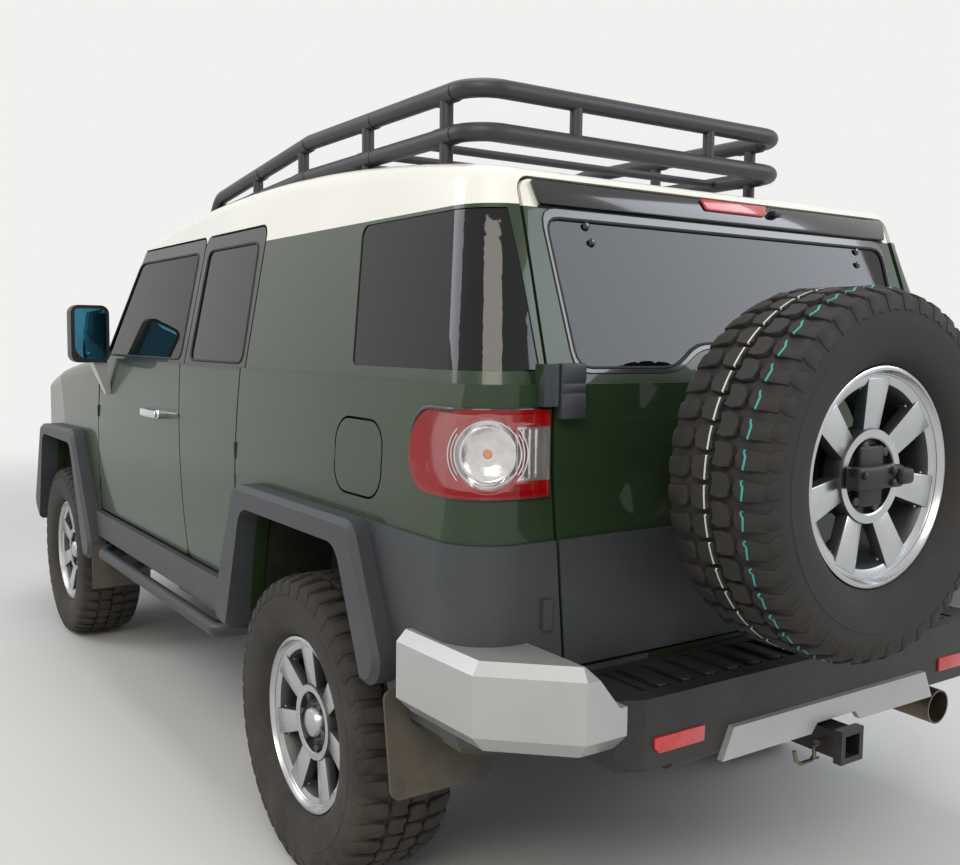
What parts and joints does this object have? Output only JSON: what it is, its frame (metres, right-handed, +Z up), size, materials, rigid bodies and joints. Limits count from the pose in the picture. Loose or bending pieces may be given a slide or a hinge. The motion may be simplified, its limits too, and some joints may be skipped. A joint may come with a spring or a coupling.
{
  "type": "lifted off-road 4x4",
  "caption": "Short tall off-road 4x4 with opening doors, side-hinged rear door with spare wheel, roof rack, rock rails and steered wheels.",
  "frame": {"origin": "on the ground under the middle of the box around the whole vehicle", "axes": "+X forward, +Y to the vehicle's left, +Z up"},
  "size_m": [4.781, 2.09, 2.082],
  "materials": {
    "green_paint": "dark green metallic paint",
    "white_paint": "white paint",
    "inner_paint": "dark inner body paint",
    "chassis_black": "black chassis coating",
    "cast_metal": "cast metal with light rust",
    "dark_plastic": "charcoal grained plastic",
    "silver_plastic": "silver paint on plastic",
    "black_plastic": "black plastic",
    "seat_fabric": "dark woven cloth",
    "tinted_glass": "dark tinted glass",
    "clear_glass": "clear glass",
    "lamp_lens": "red and clear lens",
    "lamp_clear": "clear lamp lens",
    "tyre_rubber": "dusty black rubber",
    "flap_rubber": "dusty rubber",
    "wheel_alloy": "machined face, dark pockets",
    "exhaust_steel": "heat-stained steel",
    "rack_coat": "dark textured powder coat"
  },
  "bodies": {
    "chassis_and_body": {"chassis_frame": "chassis_black", "floor_pan": "inner_paint", "front_structure": "inner_paint", "inner_wings": "inner_paint", "wheelhouses": "inner_paint", "rear_quarter_left": "green_paint", "rear_quarter_right": "green_paint", "front_wing_left": "green_paint", "front_wing_right": "green_paint", "roof": "white_paint", "windscreen": "clear_glass", "quarter_glass": "tinted_glass", "roof_rack": "rack_coat", "grille": "silver_plastic", "headlamps": "lamp_clear", "front_bumper": "dark_plastic", "rear_bumper": "black_plastic", "bumper_trim": "silver_plastic", "cladding_left": "dark_plastic", "cladding_right": "dark_plastic", "rock_rails": "rack_coat", "mud_flaps": "flap_rubber", "tail_lamps": "lamp_lens", "dashboard": "dark_plastic", "steering_wheel": "black_plastic", "seats": "seat_fabric", "engine_block": "cast_metal", "driveline": "cast_metal", "exhaust": "exhaust_steel", "fuel_tank": "black_plastic", "rear_axle": "cast_metal", "suspension": "chassis_black"},
    "front_door_left_body": {"front_door_left": "green_paint", "front_door_glass_left": "clear_glass", "mirror_left": "black_plastic"},
    "front_door_right_body": {"front_door_right": "green_paint", "front_door_glass_right": "clear_glass", "mirror_right": "black_plastic"},
    "access_door_left_body": {"access_door_left": "green_paint", "access_glass_left": "tinted_glass"},
    "access_door_right_body": {"access_door_right": "green_paint", "access_glass_right": "tinted_glass"},
    "rear_door_body": {"rear_door": "green_paint", "rear_glass": "tinted_glass", "spare_tyre": "tyre_rubber", "spare_wheel": "wheel_alloy"},
    "bonnet_body": {"bonnet": "green_paint"},
    "fuel_flap_body": {"fuel_flap": "green_paint"},
    "knuckle_left_body": {"knuckle_left": "cast_metal"},
    "knuckle_right_body": {"knuckle_right": "cast_metal"},
    "steering_rod_body": {"steering_rod": "cast_metal"},
    "wheel_front_left_body": {"wheel_front_left": "wheel_alloy", "tyre_front_left": "tyre_rubber"},
    "wheel_front_right_body": {"wheel_front_right": "wheel_alloy", "tyre_front_right": "tyre_rubber"},
    "wheel_rear_left_body": {"wheel_rear_left": "wheel_alloy", "tyre_rear_left": "tyre_rubber"},
    "wheel_rear_right_body": {"wheel_rear_right": "wheel_alloy", "tyre_rear_right": "tyre_rubber"}
  },
  "joints": [
    {"name": "front_door_left_hinge", "type": "hinge", "parent": "chassis_and_body", "child": "front_door_left_body", "pos_m": [0.9685, 0.893, 0.9], "axis": [0, 0, -1], "range_deg": [0, 66]},
    {"name": "front_door_right_hinge", "type": "hinge", "parent": "chassis_and_body", "child": "front_door_right_body", "pos_m": [0.9685, -0.893, 0.9], "axis": [0, 0, 1], "range_deg": [0, 66]},
    {"name": "access_door_left_hinge", "type": "hinge", "parent": "chassis_and_body", "child": "access_door_left_body", "pos_m": [-0.6545, 0.893, 0.9], "axis": [0, 0, 1], "range_deg": [0, 82]},
    {"name": "access_door_right_hinge", "type": "hinge", "parent": "chassis_and_body", "child": "access_door_right_body", "pos_m": [-0.6545, -0.893, 0.9], "axis": [0, 0, -1], "range_deg": [0, 82]},
    {"name": "rear_door_hinge", "type": "hinge", "parent": "chassis_and_body", "child": "rear_door_body", "pos_m": [-1.9615, 0.69, 1.2], "axis": [0, 0, -1], "range_deg": [0, 90]},
    {"name": "bonnet_hinge", "type": "hinge", "parent": "chassis_and_body", "child": "bonnet_body", "pos_m": [1.1605, 0, 1.3], "axis": [0, -1, 0], "range_deg": [0, 50]},
    {"name": "fuel_flap_hinge", "type": "hinge", "parent": "chassis_and_body", "child": "fuel_flap_body", "pos_m": [-1.3315, 0.886, 1.144], "axis": [0, 0, -1], "range_deg": [0, 85]},
    {"name": "steer_left", "type": "hinge", "parent": "chassis_and_body", "child": "knuckle_left_body", "pos_m": [1.5055, 0.735, 0.4], "axis": [0, 0, 1], "range_deg": [-33, 33]},
    {"name": "steer_right", "type": "hinge", "parent": "chassis_and_body", "child": "knuckle_right_body", "pos_m": [1.5055, -0.735, 0.4], "axis": [0, 0, 1], "range_deg": [-34, 34]},
    {"name": "steering_rod_slide", "type": "slide", "parent": "chassis_and_body", "child": "steering_rod_body", "axis": [0, 1, 0], "range_m": [-0.073, 0.073]},
    {"name": "wheel_front_left_spin", "type": "hinge", "parent": "knuckle_left_body", "child": "wheel_front_left_body", "pos_m": [1.5055, 0.8025, 0.4], "axis": [0, 1, 0], "continuous": true},
    {"name": "wheel_front_right_spin", "type": "hinge", "parent": "knuckle_right_body", "child": "wheel_front_right_body", "pos_m": [1.5055, -0.8025, 0.4], "axis": [0, 1, 0], "continuous": true},
    {"name": "wheel_rear_left_spin", "type": "hinge", "parent": "chassis_and_body", "child": "wheel_rear_left_body", "pos_m": [-1.1845, 0.8025, 0.4], "axis": [0, 1, 0], "continuous": true},
    {"name": "wheel_rear_right_spin", "type": "hinge", "parent": "chassis_and_body", "child": "wheel_rear_right_body", "pos_m": [-1.1845, -0.8025, 0.4], "axis": [0, 1, 0], "continuous": true}
  ],
  "couplings": [
    {"joint": "steer_right", "follows": "steer_left", "ratio": 1},
    {"joint": "steering_rod_slide", "follows": "steer_left", "m_per_rad": 0.12293}
  ]
}
